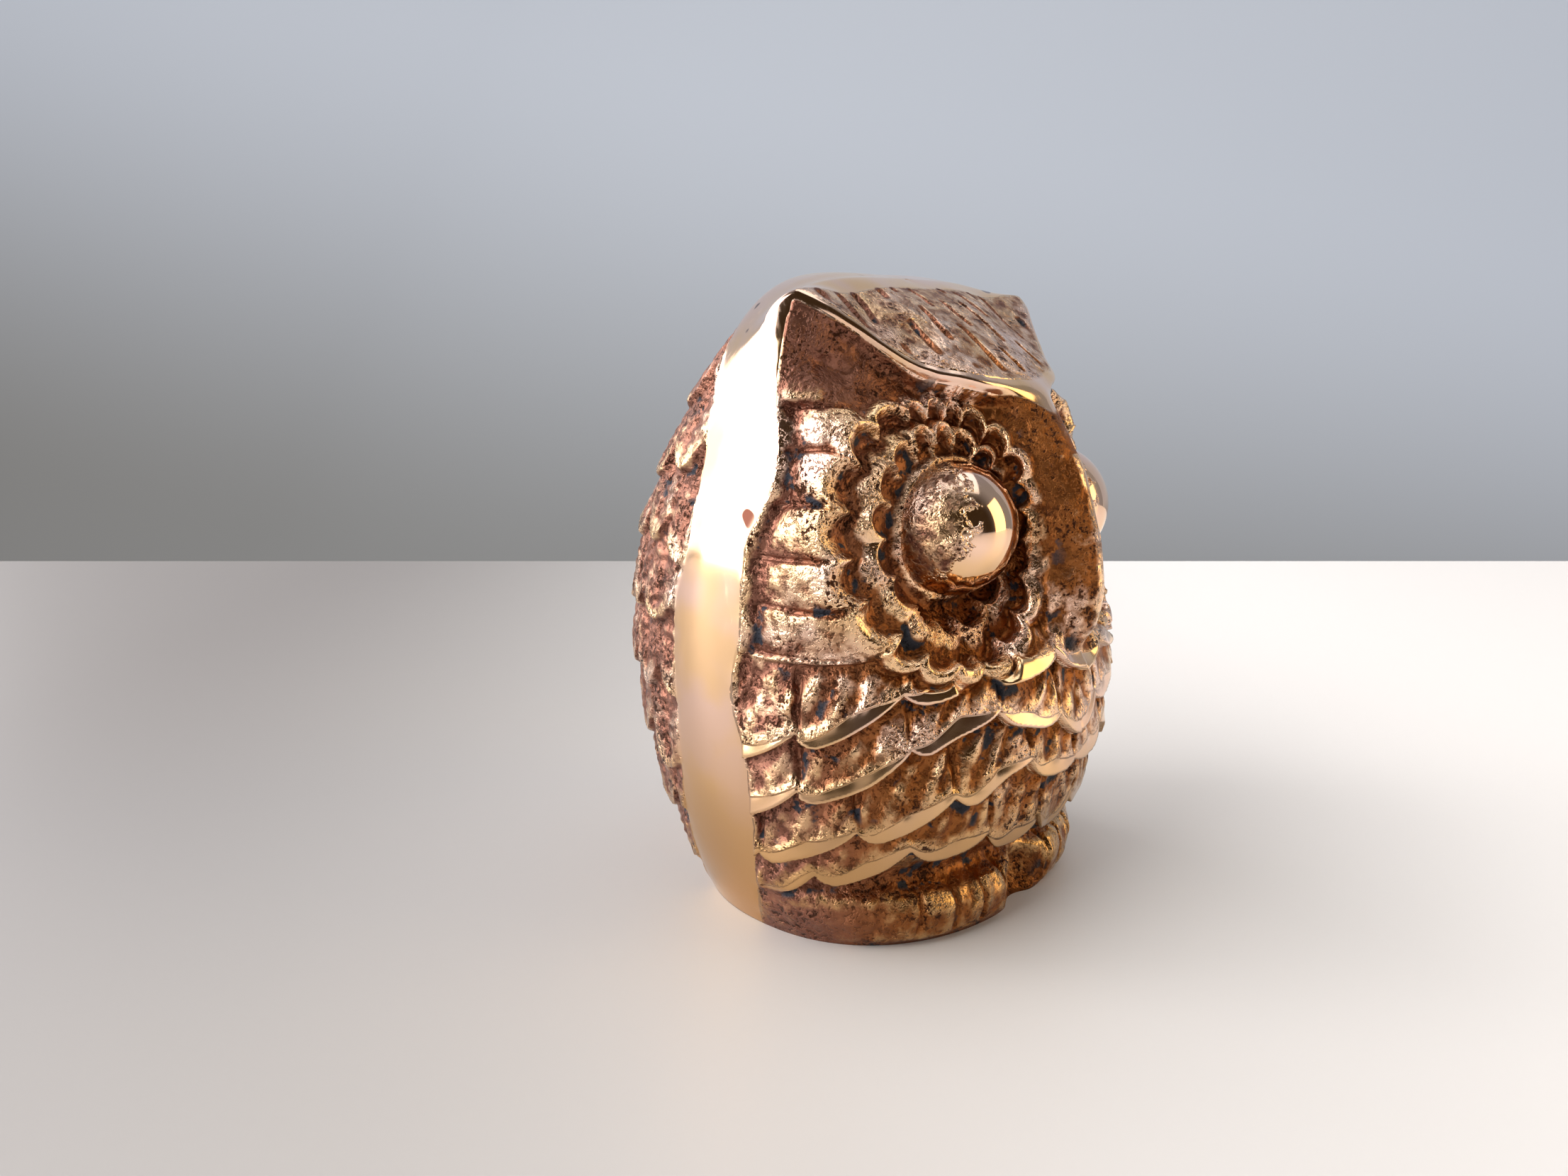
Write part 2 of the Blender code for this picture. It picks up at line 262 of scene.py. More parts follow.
# Crests of the two rings of petals: (angle round the eye, distance from its centre).
# Angle 0 points outwards, 90 points up and 180 towards the beak.
INNER_CREST = [(-180, 6.3), (-172, 6.4), (-135, 7.3), (-110, 8.6), (-85, 9.1), (-60, 9.6), (-40, 9.7),
               (-15, 9.5), (10, 9.6), (35, 9.4), (55, 8.9), (78, 8.5), (95, 8.2), (110, 7.7),
               (130, 6.9), (149, 6.5), (180, 6.3)]
OUTER_CREST = [(-180, 7.5), (-160, 7.8), (-137, 9.0), (-119, 10.8), (-99, 11.9), (-80, 12.5), (-60, 13.0),
               (-45, 13.2), (-20, 13.3), (10, 13.2), (37, 13.0), (50, 12.3), (62, 11.4), (75, 10.6),
               (95, 10.2), (109, 9.7), (120, 9.0), (140, 8.2), (154, 7.7), (180, 7.5)]
INNER_EDGES = np.array([-112, -85, -62, -42, -21.5, 0, 20.5, 41, 61, 79, 96, 113, 131, 150, 171,
                        192, 220, 248])
OUTER_EDGES = np.array([-121, -103, -82, -68, -54, -41, -23, -6, 12, 31, 48, 68, 80, 92, 103, 115,
                        128, 146, 168, 192, 217, 239])
CHEEK_LOW, CHEEK_HIGH = -41, 48

# Heights over the plain form of the rings' crests, the hollows inside them and the cheek feathers
INNER_HEIGHT, OUTER_HEIGHT = 0.55, 0.75
INNER_FOOT, OUTER_FOOT = -0.75, -0.65
INNER_WIDTH = 1.35
CHEEK_EXTRA, CHEEK_FLOOR = 0.25, -0.85

# Back feathers: rows, height of the first row's tips, drop from row to row, degrees per feather
BACK_ROWS, BACK_TOP, BACK_STEP, BACK_TURN = 9, 53.5, 6.4, 15

# Strokes on the head, and the cup under each ear
STROKE_DEPTH, STROKE_LANE, STROKE_LENGTH = 0.4, 2.9, 6.4
CUP_X, CUP_Z, CUP_DEPTH = 16.5, 52.0, 1.4


def lumps(points, size, seed):
    """Soft random field between -1 and 1 with features about size millimetres across."""
    table = np.random.default_rng(seed).random((32, 32, 32)) * 2 - 1
    place = points / size + 1000
    cell = np.floor(place).astype(int)
    t = place - cell
    t = t * t * (3 - 2 * t)
    total = 0
    for dx in (0, 1):
        for dy in (0, 1):
            for dz in (0, 1):
                weight = 1
                for axis, d in enumerate((dx, dy, dz)):
                    weight = weight * (t[..., axis] if d else 1 - t[..., axis])
                corner = (cell + (dx, dy, dz)) % 32
                total = total + weight * table[corner[..., 0], corner[..., 1], corner[..., 2]]
    return total


def chance(index, seed):
    """A fixed random number between -1 and 1 for each whole number."""
    table = np.random.default_rng(seed).random(997) * 2 - 1
    return table[np.asarray(index, int) % 997]


def eye_polar(points):
    """Distance from the centre of the nearer eye, and the angle round it."""
    out = np.abs(points[..., 0]) - EYE_X
    deep = points[..., 1] - EYE_DEPTH
    up = points[..., 2] - EYE_Z
    across = out * math.cos(FACE_TURN) + deep * math.sin(FACE_TURN)
    return np.sqrt(out ** 2 + deep ** 2 + up ** 2), np.degrees(np.arctan2(up, across))


def divide(place, edges):
    """Number of the division that a place falls in, and the place across it from -1 to 1."""
    i = np.clip(np.searchsorted(edges, place) - 1, 0, len(edges) - 2)
    middle = (edges[i] + edges[i + 1]) / 2
    return i, np.clip((place - middle) / (edges[i + 1] - edges[i]) * 2, -1, 1)


def petal(angle, edges, side):
    """Number of the petal at an angle round the eye, and the place across it."""
    turned = (angle - edges[0]) % 360 + edges[0]
    i, t = divide(turned, edges)
    return i + np.where(side, 100, 0), t


def facet(inwards, high, foot, leg, leg_end):
    """Slope from a crest down towards the eye, with a leg at each end of the petal."""
    slope = high - (high - foot) * smooth(0.0, 1.0, inwards) ** 0.8
    return slope + 0.75 * leg * smooth(0.1, 0.5, inwards) * (1 - smooth(*leg_end, inwards))


def rings(points, fanned, cheek):
    """Two rings of scalloped petals whose facets face the eye.

    Gives the height inside the outer crest, that crest's distance from the eye and its height,
    and the place across its petal.
    """
    side = points[..., 0] > 0
    r, angle = eye_polar(points)
    n1, t1 = petal(angle, INNER_EDGES, side)
    n2, t2 = petal(fanned, OUTER_EDGES, side)
    size = 1 - 0.45 * smooth(115, 150, np.abs(angle))
    bow1 = (1.0 + 0.2 * chance(n1, 11)) * size
    crest1 = curve_through(INNER_CREST, angle) + bow1 * (0.45 - np.abs(t1) ** 2.4)
    bow2 = (1.0 + 0.25 * chance(n2, 12)) * size
    crest2 = curve_through(OUTER_CREST, angle) + bow2 * (0.45 - np.abs(t2) ** 2.4)
    width2 = (1.2 + 0.6 * cheek) * size
    high1 = INNER_HEIGHT + 0.12 * chance(n1, 13)
    high2 = OUTER_HEIGHT + 0.15 * chance(n2, 14) + CHEEK_EXTRA * cheek

    inwards1 = (crest1 - r) / (INNER_WIDTH * size)
    inwards2 = (crest2 - r) / width2
    leg1 = 0.7 * np.abs(t1) ** 5
    leg2 = 0.7 * np.abs(t2) ** 5 * (1 - 0.6 * cheek)
    inner = facet(inwards1, high1, INNER_FOOT, leg1, (1.2, 1.9))
    outer = facet(inwards2, high2, OUTER_FOOT, leg2, (1.0, 1.7))
    gap = np.maximum(crest2 - width2 - crest1, 0.3)
    outwards = np.clip((r - crest1) / gap, 0, 1)
    between = high1 - (high1 - OUTER_FOOT) * outwards ** 0.85
    height = np.where(r < crest1, inner, np.where(inwards2 > 1, between, outer))
    return height, crest2, high2, t2


def tongues(past, high, t, behind):
    """Cheek feathers: tongues that fall from the outer crest to the side band, lapped like shingles."""
    to_wall = np.maximum(behind - 1.2 - 0.5 * np.abs(t), 0.0)
    s = past / np.maximum(past + to_wall, 1e-6)
    seam = smooth(0.86, 1.0, np.abs(t))
    tongue = high - (high - CHEEK_FLOOR) * s ** 0.95
    tongue = tongue + 0.16 * t - 0.30 * seam
    tongue = np.where(to_wall > 0, tongue, CHEEK_FLOOR - 0.2 * seam)
    edge = 0.9 + 0.8 * (1 - np.abs(t) ** 2.2)
    return tongue * smooth(0, 1, behind / (edge + 0.3))


def face(points):
    """Relief of the rings and cheek feathers.

    Gives their height, how much of it applies, the distance past the outer crest, how far a place
    is on the cheek, and the angle round the eye, fanned out towards the band.
    """
    x, y, z = np.moveaxis(points, -1, 0)
    r, angle = eye_polar(points)
    radial, _ = eye_axes(x, y, z)
    behind = curve_through(BAND_FRONT, z) - y
    spread = 1 + 0.42 * np.clip((r - 14.2) / 6, 0, 1.2)
    fanned = angle * np.where(np.abs(angle) < 75, spread, 1)
    cheek = smooth(CHEEK_LOW - 3, CHEEK_LOW, fanned) * (1 - smooth(CHEEK_HIGH, CHEEK_HIGH + 3, fanned))
    height, crest, high, t = rings(points, fanned, cheek)

    past = np.maximum(r - crest, 0)
    low_side = smooth(-38, -47, angle) * (angle > -135)
    skirt = high - (high + 0.95) * smooth(0.45, 1.5, past)
    lip = high * (1 - smooth(0.1, 1.2, past))
    outside = lip * (1 - low_side) + skirt * low_side
    outside = outside * (1 - cheek) + tongues(past, high, t, behind) * cheek
    height = np.where(r < crest, height, outside)
    height = height * smooth(SOCKET_RADIUS, SOCKET_RADIUS + 0.6, radial)
    reach = np.where(low_side > 0.5, 1.6, 1.3)
    weight = 1 - smooth(reach - 0.9, reach, past) * (1 - cheek)
    return height, weight * smooth(0, 0.3, behind), past, cheek, fanned


# Lower rims of the rows of chest feathers: (angle round the body from the front, height)
CHEST_ROWS = [
    ([(0, 24.5), (25, 24.8), (50, 24), (77, 19.8), (89, 18.4), (98, 18)], [-12, 12, 34, 55, 76, 99]),
    ([(0, 18.6), (13, 19.4), (28, 21.0), (41, 20.8), (50, 19.2), (62, 17.0), (70, 15.9), (80, 14.0),
      (89, 13.1), (98, 12.9)], [-10, 10, 31, 53, 76, 99]),
    ([(0, 14.2), (13, 15.4), (27, 16.4), (37, 14.6), (45, 13.9), (55, 12.7), (65, 11.3), (78, 9.9),
      (89, 7.9), (98, 7.4)], [-21, 0, 20, 42, 64, 86, 108]),
    ([(0, 8.8), (18, 9.2), (34, 9.5), (51, 9.2), (62, 8.2), (70, 7.3), (83, 5.2), (91, 4), (98, 3.4)],
     [-10, 10, 30, 52, 74, 99]),
]


def chest(points):
    """Rows of overlapping chest feathers with smooth crescent rims."""
    x, y, z = np.moveaxis(points, -1, 0)
    turn = np.degrees(np.arctan2(np.abs(x), -y))
    side = np.where(x > 0, 57, 0)
    best = np.full(x.shape, -9.0)
    rim = np.zeros(x.shape)
    hollow = np.zeros(x.shape)
    waver = lumps(points, 3.0, 23)
    for row, (line, edges) in enumerate(CHEST_ROWS):
        edges = np.array(edges)
        i, t = divide(turn, edges)
        number = i + 10 * row + side
        tip = np.where(edges[i] < 0, 0.0, 0.42)
        towards_front = np.clip((tip - t) / (1 + tip), 0, 1)
        towards_band = np.clip((t - tip) / (1 - tip), 0, 1)
        sweep = 1.5 * towards_front ** 2.2 + 1.3 * towards_band ** 2.4
        sweep = sweep * np.where(edges[i] < 0, 1.5, 1.0)
        edge = curve_through(line, turn) - 0.5 + sweep + 0.25 * chance(number, 21)
        above = z - edge
        rise = np.clip(above / 5.6, 0, 1.3)
        surface = 0.95 - 1.45 * rise ** 0.9 - 0.25 * np.abs(t) ** 4
        lane = turn * 0.36 + 0.45 * above + 0.7 * waver + 2 * chance(number, 22)
        veins = np.sin(lane * 2 * math.pi / 2.6) * smooth(1.0, 2.8, above) * (0.15 + 0.12 * waver)
        split = -0.5 * smooth(0.88, 1.0, np.abs(t)) * smooth(0.6, 2.0, above)
        height = surface + veins + split
        height = height - 2.2 * smooth(0.25, -0.35, above)
        height = np.where((above < -0.4) | (above > 8.5), -9, height)
        ahead = height > best
        wide = 0.3 + 1.2 * (1 - np.abs(t)) ** 0.7 + 0.5 * waver
        rim = np.where(ahead, smooth(wide + 0.3, wide - 0.3, above) * smooth(-0.1, 0.1, above), rim)
        hollow = np.where(ahead, smooth(wide, wide + 1.2, above), hollow)
        best = np.where(ahead, height, best)
    return np.maximum(best, -0.85), rim, hollow


def head_strokes(points):
    """Short cuts on top of the head, running back from the brow."""
    x, y = points[..., 0], points[..., 1]
    splay = 0.10 * (y + 12) * np.sign(x) * np.minimum(np.abs(x) / 6, 1)
    lane = (x + splay) / STROKE_LANE + 0.5
    i = np.floor(lane)
    t = (lane - i) * 2 - 1
    along = (y + 3.2 * chance(i, 31)) / STROKE_LENGTH
    j = np.floor(along)
    s = (along - j) * 2 - 1
    wander = t + 0.35 * chance(i * 13 + j, 32)
    length = 0.72 + 0.2 * chance(i * 17 + j, 33)
    narrow = 1 - smooth(0.06, 0.32, np.abs(wander))
    return -STROKE_DEPTH * narrow * (1 - smooth(length - 0.25, length, np.abs(s)))


def back_feathers(points):
    """Long overlapping feathers down the back and wings."""
    x, y, z = np.moveaxis(points, -1, 0)
    turn = np.degrees(np.arctan2(x, np.maximum(y, 0.01)))
    best = np.full(x.shape, -9.0)
    sway = 1.2 * lumps(points, 6.0, 42)
    for row in range(BACK_ROWS):
        across = (turn + 3 * sway) / BACK_TURN + 0.5 * (row % 2)
        i = np.floor(across)
        t = (across - i) * 2 - 1
        number = i + 40 * row + 300
        tip = BACK_TOP - BACK_STEP * row + 0.9 * chance(number, 41)
        edge = tip + 2.6 * np.abs(t) ** 1.8 + sway
        above = z - edge
        rise = np.clip(above / 8.5, 0, 1)
        height = 0.45 - 0.95 * rise ** 0.9 - 0.35 * np.abs(t) ** 6
        shaft = -0.2 * (1 - smooth(0.06, 0.22, np.abs(t))) * smooth(1.0, 2.0, above)
        barbs = 0.07 * np.sin((above + 1.6 * np.abs(t)) * 2 * math.pi / 1.1) * smooth(1.0, 2.0, above)
        height = height + shaft + barbs - 1.6 * smooth(0.3, -0.5, above)
        height = np.where((above < -0.5) | (above > 10), -9, height)
        best = np.maximum(best, height)
    return np.maximum(best, -0.6)


def foot_relief(points):
    """Lumpy toes below the last row of feathers."""
    x, y, z = np.moveaxis(points, -1, 0)
    out = np.abs(x)
    place = (out - 4.2) / 3.1
    t = (place - np.floor(place)) * 2 - 1
    area = (1 - smooth(5.2, 6.4, z)) * smooth(3.4, 4.2, out) * (1 - smooth(14, 19.5, out)) * (y < 0)
    toe = 0.6 * (1 - smooth(3.2, 6.0, z)) + 0.25 * lumps(points, 1.8, 24)
    toe = toe - 0.35 * smooth(0.72, 1.0, np.abs(t)) * smooth(0.6, 2.0, z)
    return toe * area


def relief(points):
    """Carving height at each point, the layers polish, rim, and dirt with painted shade, and the eased
    part.
    """
    x, y, z = np.moveaxis(points, -1, 0)
    band_front = curve_through(BAND_FRONT, z)
    band_back = curve_through(BAND_BACK, z)
    above = above_crown(x, y, z)
    on_top = smooth(-0.5, -0.1, above)
    from_brow = y - curve_through(BROW_EDGE, np.abs(x))
    under_lip = smooth(-3.4, -2.6, above) * smooth(-0.1, -0.4, above) * (z > 43) * smooth(-0.5, -1.5, y)

    carved, weight, past, cheek, fanned = face(points)
    feathers, rim, hollow = chest(points)
    chest_area = smooth(30.5, 28.5, z) * smooth(4.6, 6.4, z)
    below_cheek = smooth(CHEEK_LOW + 1, CHEEK_LOW - 2, fanned)
    beak_area = (1 - smooth(1.6, 3.2, np.abs(x))) * smooth(24.0, 26.5, z)
    feathers = feathers * chest_area * below_cheek * (1 - beak_area)
    height = carved * weight + feathers * (1 - weight)
    rim = rim * chest_area * (1 - weight) * (y < band_front)
    cup = np.exp(-((np.abs(x) - CUP_X) / 3.0) ** 2 - ((z - CUP_Z) / 2.6) ** 2)
    height = height - CUP_DEPTH * cup * (1 - weight)
    height = height * (1 - under_lip)
    height = height + foot_relief(points)
    strokes = head_strokes(points) * smooth(1.6, 2.8, from_brow)
    height = height * (1 - on_top) + strokes * on_top
    height = height * smooth(0.0, 0.5, band_front - y)
    height = np.where(y > 0, back_relief(points, on_top, band_back), height)

    in_front = (1 - on_top) * (y < -10)
    ridge = smooth(0.8, 0.3, np.abs(x)) * smooth(26, 29, z) * in_front
    lip_front = smooth(1.3, 0.6, from_brow) * smooth(-0.7, -0.3, above) * (y < 0) * (z > 44)
    polish = ((y > band_front) & (y < band_back)).astype(float)
    polish = np.maximum(polish, np.maximum(lip_front, 0.35 * ridge))

    r, _ = eye_polar(points)
    bridge = smooth(6.0, 4.5, np.abs(x)) * smooth(30, 33, z) * in_front
    # Painted shade: the recess under the brow by each ear, and low on the front round the feet
    recess = smooth(44.5, 46.5, z) * smooth(0.6, 1.6, past) * (1 - on_top) * (1 - cheek)
    shadow = smooth(9.0, 5.0, z) * (y < band_front)
    # Brown layer: painted shade in that recess, the ear cups, low on the front and under the brow's lip;
    # patina in the head's cuts and the chest's hollows; and darker inside each eye ring, between the
    # eyes, on top of the head, over the back, on the cheeks and by the beak
    dirt_and_shade = 0.12 * smooth(9.0, 8.2, r) + 0.4 * recess + 0.4 * cup + 0.4 * shadow + 0.25 * bridge
    dirt_and_shade = dirt_and_shade + on_top * (0.1 + 1.2 * np.clip(-4 * strokes, 0, 1)) + 0.28 * smooth(4, 8, y)
    dirt_and_shade = dirt_and_shade + 0.10 * cheek * smooth(0.5, 1.5, past)
    dirt_and_shade = dirt_and_shade + 0.2 * smooth(115, 150, np.abs(fanned)) * smooth(26, 28, z) * (z < 48)
    dirt_and_shade = dirt_and_shade + 0.6 * under_lip * smooth(-0.5, -0.9, above) + 0.18 * hollow * chest_area
    return height, polish, rim, dirt_and_shade, under_lip


def back_relief(points, on_top, band_back):
    """Feathers behind the side band, and strokes on the back of the crown."""
    crown = on_top * (points[..., 2] > 56.0)
    height = back_feathers(points) * (1 - crown) + head_strokes(points) * crown
    return height * smooth(0.0, 0.8, points[..., 1] - band_back + 0.5 * lumps(points, 2.5, 5))


# ---------------------------------------------------------------- meshes

def grid_normals(points):
    """Outward unit normals of a grid of points whose columns wrap round."""
    across = np.roll(points, -1, 1) - np.roll(points, 1, 1)
    up = np.gradient(points, axis=0)
    normal = np.cross(across, up)
    normal[-1] = (0, 0, 1)
    return normal / np.maximum(np.linalg.norm(normal, axis=-1, keepdims=True), 1e-9)


def blurred(values, steps):
    """Average of a field over its neighbours in the grid, a fixed share of rounds for each step."""
    for _ in range(round(steps * BLUR_SHARE)):
        padded = np.concatenate([values[:1], values, values[-1:]])
        values = (padded[:-2] + padded[2:] + 2 * values) / 4
        values = (np.roll(values, 1, 1) + np.roll(values, -1, 1) + 2 * values) / 4
    return values


def carved_owl():
    """The whole outer skin, carved, with the rim under it, and the layers of its wear and painted shade.
    """
    front_turns = math.pi + np.arange(FRONT_COLUMNS) / FRONT_COLUMNS * math.pi
    back_turns = np.arange(BACK_COLUMNS) / BACK_COLUMNS * math.pi
    turns = np.concatenate([front_turns, back_turns])
    base = skin(whole_body, 0.0, turns, LOW_ROWS, MIDDLE_ROWS, HIGH_ROWS)
    base_normals = grid_normals(base)
    base_normals = np.stack([blurred(base_normals[..., k], 3) for k in range(3)], -1)
    base_normals /= np.linalg.norm(base_normals, axis=-1, keepdims=True)
    height, polish, rim, dirt_and_shade, eased = relief(base)
    uneven = 0.08 * lumps(base, 2.2, 1) + 0.05 * lumps(base, 0.9, 2)
    uneven = uneven + 0.12 * lumps(base, 1.4, 3) * smooth(30, 26, base[..., 2])
    height = height + uneven * (1 - blurred(np.clip(polish + rim, 0, 1), 3))
    height = height * smooth(0.0, 1.2, base[..., 2])
    points = base + base_normals * height[..., None]
    eased = blurred(eased, 2)[..., None]
    softer = np.stack([blurred(points[..., k], 8) for k in range(3)], -1)
    points = points * (1 - eased) + softer * eased
    points[..., 2] = np.maximum(points[..., 2], 0)
    points[0, :, 2] = 0
    cavity = blurred(height, 1) - blurred(height, 17)
    points = np.concatenate([bottom_rim(points[0]), points])
    layers = {"cavity": cavity, "polish": blurred(polish, 1), "rim": rim, "dirt_and_shade": dirt_and_shade}
    return points, {key: np.concatenate([field[:1]] * 3 + [field]) for key, field in layers.items()}


def bottom_rim(edge):
    """The ceiling over the plate, the short wall round it and the flat rim, from the inside out."""
    outwards = edge / np.linalg.norm(edge, axis=-1, keepdims=True)
    inner = edge - outwards * RIM
    raised = (0, 0, LEDGE_Z)
    return np.stack([inner * CEILING_HOLE + raised, inner + raised, inner])


def to_object(name, verts, faces, layers):
    """Object in the frame's metres from points in millimetres from the parting plane."""
    mesh = bpy.data.meshes.new(name)
    verts = (np.asarray(verts) + (0, PARTING_Y, 0)) * MM
    mesh.from_pydata(verts.tolist(), [], faces)
    mesh.update()
    mesh.shade_smooth()
    for key, values in layers.items():
        attribute = mesh.attributes.new(key, "FLOAT", "POINT")
        attribute.data.foreach_set("value", np.asarray(values, np.float32))
    piece = bpy.data.objects.new(name, mesh)
    bpy.context.collection.objects.link(piece)
    return piece


def half(name, points, layers, first, count):
    """One casting's outer skin from a run of the grid's columns, closed by one point on top."""
    rows = points.shape[0]
    columns = (first + np.arange(count + 1)) % points.shape[1]
    part = points[:, columns]
    verts = part[:-1].reshape(-1, 3).tolist()
    top = len(verts)
    verts.append(part[-1, 0].tolist())
    wide = count + 1
    faces = []
    for i in range(rows - 2):
        row = i * wide
        faces += [(row + j, row + j + 1, row + wide + j + 1, row + wide + j) for j in range(count)]
    row = (rows - 2) * wide
    faces += [(row + j, row + j + 1, top) for j in range(count)]
    values = {}
    for key, field in layers.items():
        picked = field[:, columns]
        values[key] = np.append(picked[:-1].reshape(-1), picked[-1, 0])
    return to_object(name, verts, faces, values)


# ---------------------------------------------------------------- materials

# The third bright colour is bare brass darkened as painted shade, for the lower body
BRIGHT, BRIGHT_ROSY, BRIGHT_IN_SHADE = (0.92, 0.60, 0.33), (0.90, 0.62, 0.49), (0.56, 0.33, 0.145)
ORANGE_BROWN = (0.16, 0.048, 0.015), (0.45, 0.170, 0.048)
ROSE_BROWN = (0.13, 0.045, 0.030), (0.40, 0.190, 0.130)
PIT, RESIDUE, SPOT = (0.055, 0.022, 0.012), (0.016, 0.018, 0.030), (0.12, 0.045, 0.030)
PLATE_CLEAN, PLATE_TARNISH = (0.62, 0.42, 0.22), (0.24, 0.12, 0.055)
FELT_FLAT, FELT_DARK, FELT_PALE = (0.03, 0.05, 0.035), (0.016, 0.030, 0.020), (0.060, 0.095, 0.066)
FINE_GRAIN, MIDDLE_GRAIN, BROAD_GRAIN = 2600, 800, 150


def link(tree, a, b):
    tree.links.new(a, b)


def add_node(tree, kind, **values):
    made = tree.nodes.new(kind)
    for key, value in values.items():
        if key in made.inputs:
            made.inputs[key].default_value = value
        else:
            setattr(made, key, value)
    return made


def attribute(tree, name):
    return add_node(tree, "ShaderNodeAttribute", attribute_name=name).outputs["Fac"]


def noise(tree, place, scale, detail=2.0, roughness=0.5):
    made = add_node(tree, "ShaderNodeTexNoise", Scale=scale, Detail=detail, Roughness=roughness)
    link(tree, place, made.inputs["Vector"])
    return made.outputs["Fac"]


def calc(tree, operation, a, b=None, c=None, clamp=False):
    made = tree.nodes.new("ShaderNodeMath")
    made.operation = operation
    made.use_clamp = clamp
    for socket, value in zip(made.inputs, (a, b, c)):
        if value is None:
            continue
        if isinstance(value, (int, float)):
            socket.default_value = value
        else:
            link(tree, value, socket)
    return made.outputs[0]


def ramp(tree, value, low, high, start=0.0, end=1.0):
    made = tree.nodes.new("ShaderNodeMapRange")
    made.interpolation_type = "SMOOTHSTEP"
    made.inputs["From Min"].default_value = low
    made.inputs["From Max"].default_value = high
    made.inputs["To Min"].default_value = start
    made.inputs["To Max"].default_value = end
    link(tree, value, made.inputs["Value"])
    return made.outputs[0]


def blend(tree, part, a, b):
    made = tree.nodes.new("ShaderNodeMix")
    made.data_type = "RGBA"
    link(tree, part, made.inputs[0])
    for socket, value in ((made.inputs[6], a), (made.inputs[7], b)):
        if isinstance(value, tuple):
            socket.default_value = (*value, 1)
        else:
            link(tree, value, socket)
    return made.outputs[2]


def scratches(tree, place):
    """Fine rubbed streaks that make a polished surface a little rougher here and there."""
    stretched = add_node(tree, "ShaderNodeVectorMath", operation="MULTIPLY")
    stretched.inputs[1].default_value = (1, 0.35, 0.06)
    link(tree, place, stretched.inputs[0])
    return ramp(tree, noise(tree, stretched.outputs[0], 3500, 2), 0.55, 0.75, 0.0, 0.10)


